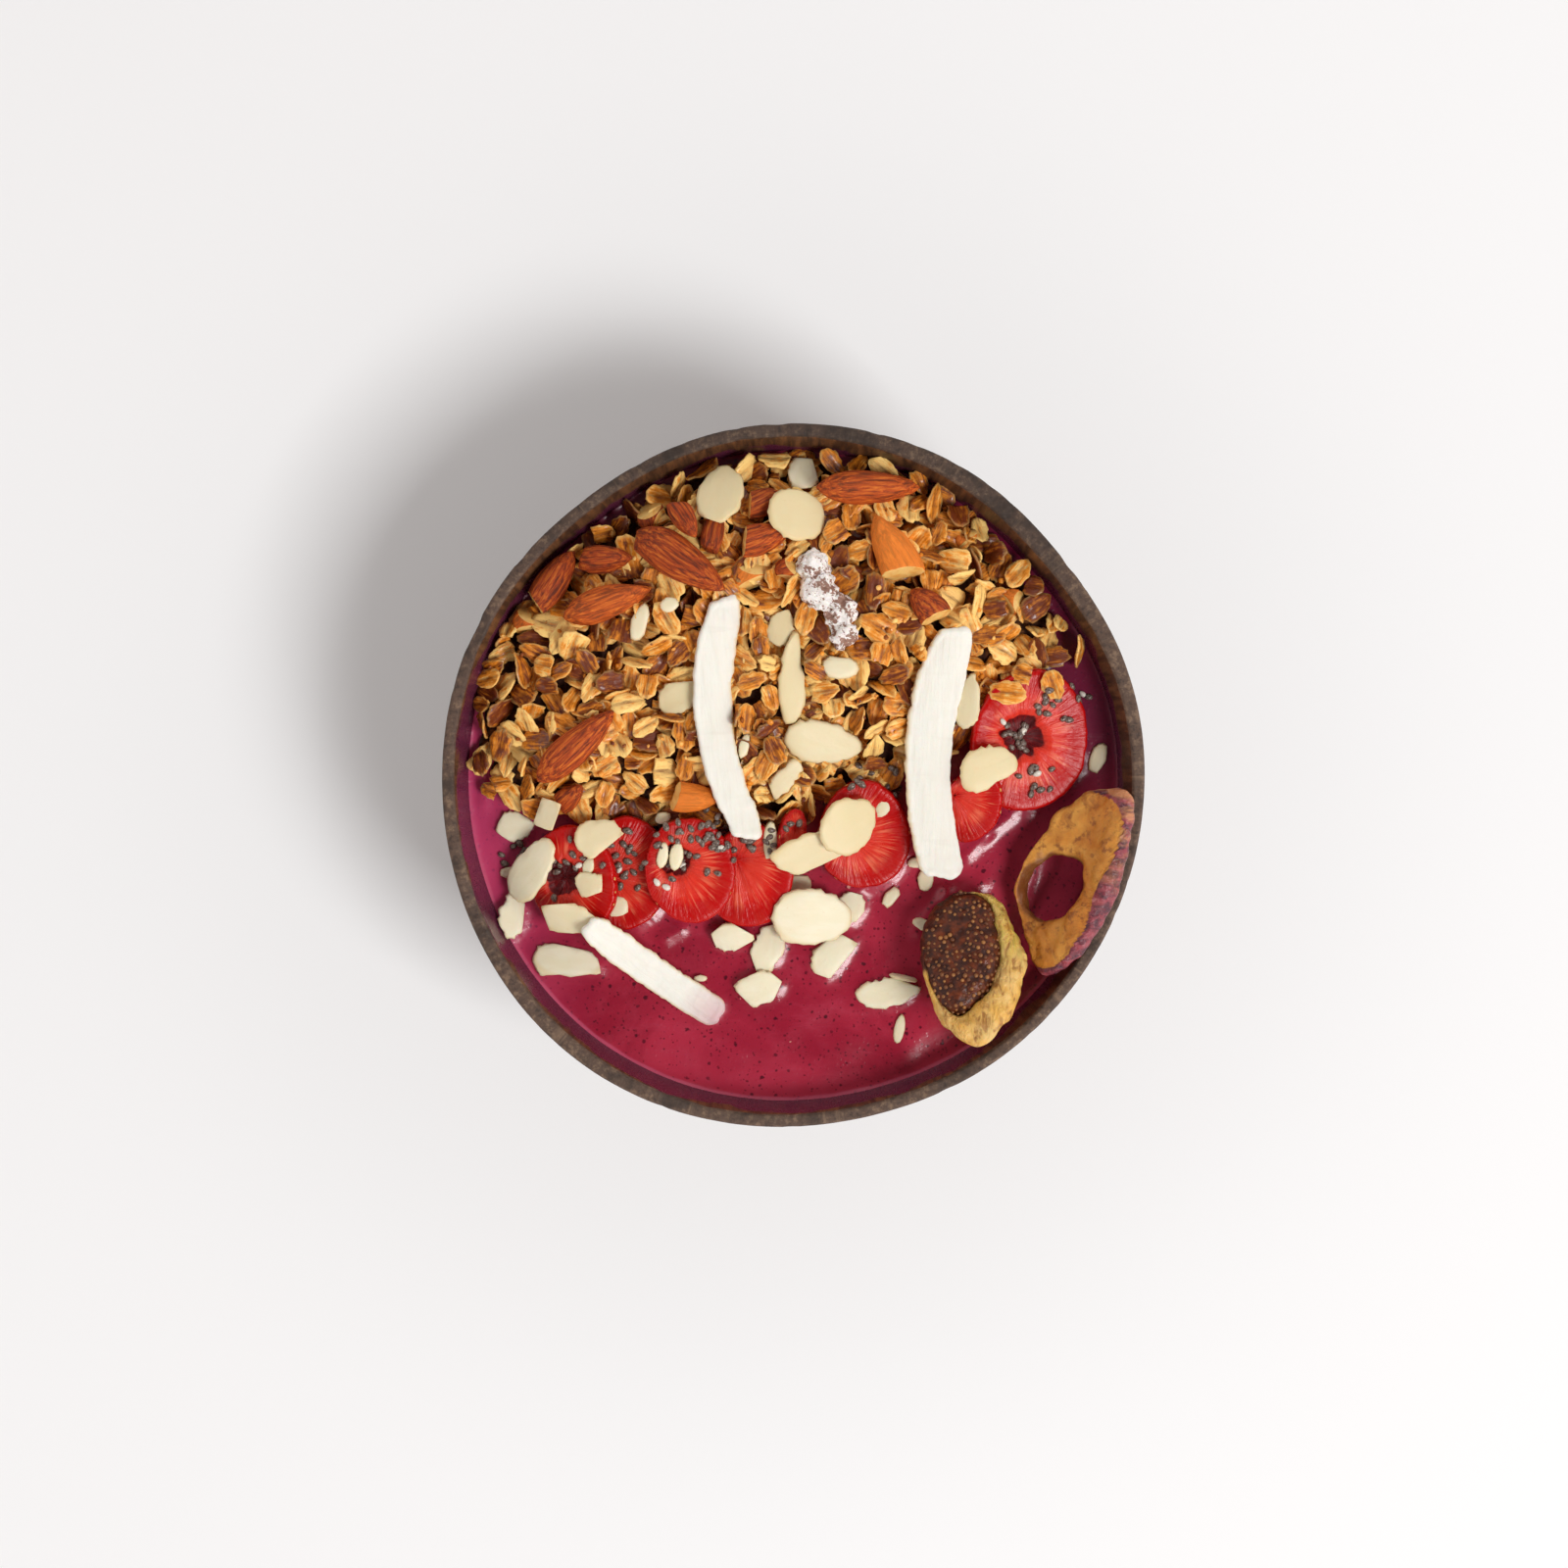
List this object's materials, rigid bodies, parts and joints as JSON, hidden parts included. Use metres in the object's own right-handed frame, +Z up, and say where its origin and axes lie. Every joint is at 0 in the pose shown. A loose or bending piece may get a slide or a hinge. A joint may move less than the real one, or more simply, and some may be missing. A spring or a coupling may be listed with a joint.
{
  "type": "smoothie bowl",
  "caption": "Half coconut shell bowl filled with berry smoothie, topped with granola, almonds, strawberry slices, coconut chips, almond flakes, a dried fig half and an apple ring.",
  "frame": {"origin": "centre of the flat foot of the shell", "axes": "+Z up through the open bowl; +X and +Y are right and up when the bowl is seen from above with the granola at the back"},
  "size_m": [0.15, 0.1501, 0.0719],
  "materials": {
    "shell": "sawn, oiled coconut shell, satin",
    "smoothie": "wet and glossy, crimson",
    "granola": "toasted rolled oats glazed with honey, satin",
    "almond": "ridged brown skin, matt",
    "strawberry": "wet cut fruit, glossy",
    "coconut": "white dried coconut, matt",
    "almond_flake": "ivory sliced almond, satin",
    "frosting": "white frosting with purple specks, matt",
    "fig_skin": "wrinkled golden dried skin, satin",
    "fig_pulp": "dark sticky pulp with seeds",
    "apple": "wrinkled amber dried fruit, satin"
  },
  "bodies": {
    "root": {"coconut_bowl": "shell", "smoothie": "smoothie", "granola": "granola", "almond_01": "almond", "almond_02": "almond", "almond_03": "almond", "almond_04": "almond", "almond_05": "almond", "almond_06": "almond", "almond_07": "almond", "almond_08": "almond", "almond_09": "almond", "almond_10": "almond", "almond_11": "almond", "almond_12": "almond", "almond_13": "almond", "almond_14": "almond", "strawberry_slice_1": "strawberry", "strawberry_slice_2": "strawberry", "strawberry_slice_3": "strawberry", "strawberry_slice_4": "strawberry", "strawberry_slice_5": "strawberry", "strawberry_slice_6": "strawberry", "strawberry_slice_7": "strawberry", "strawberry_slice_8": "strawberry", "coconut_chip_1": "coconut", "coconut_chip_2": "coconut", "coconut_chip_3": "coconut", "almond_flake_01": "almond_flake", "almond_flake_02": "almond_flake", "almond_flake_03": "almond_flake", "almond_flake_04": "almond_flake", "almond_flake_05": "almond_flake", "almond_flake_06": "almond_flake", "almond_flake_07": "almond_flake", "almond_flake_08": "almond_flake", "almond_flake_09": "almond_flake", "almond_flake_10": "almond_flake", "almond_flake_11": "almond_flake", "almond_flake_12": "almond_flake", "almond_flake_13": "almond_flake", "almond_flake_14": "almond_flake", "almond_flake_15": "almond_flake", "almond_flake_16": "almond_flake", "almond_flake_17": "almond_flake", "almond_flake_18": "almond_flake", "almond_flake_19": "almond_flake", "almond_flake_20": "almond_flake", "almond_flake_21": "almond_flake", "almond_flake_22": "almond_flake", "almond_flake_23": "almond_flake", "almond_flake_24": "almond_flake", "almond_flake_25": "almond_flake", "almond_flake_26": "almond_flake", "almond_flake_27": "almond_flake", "frosted_cluster": "frosting", "fig_skin": "fig_skin", "fig_pulp": "fig_pulp", "apple_ring": "apple"}
  },
  "joints": []
}
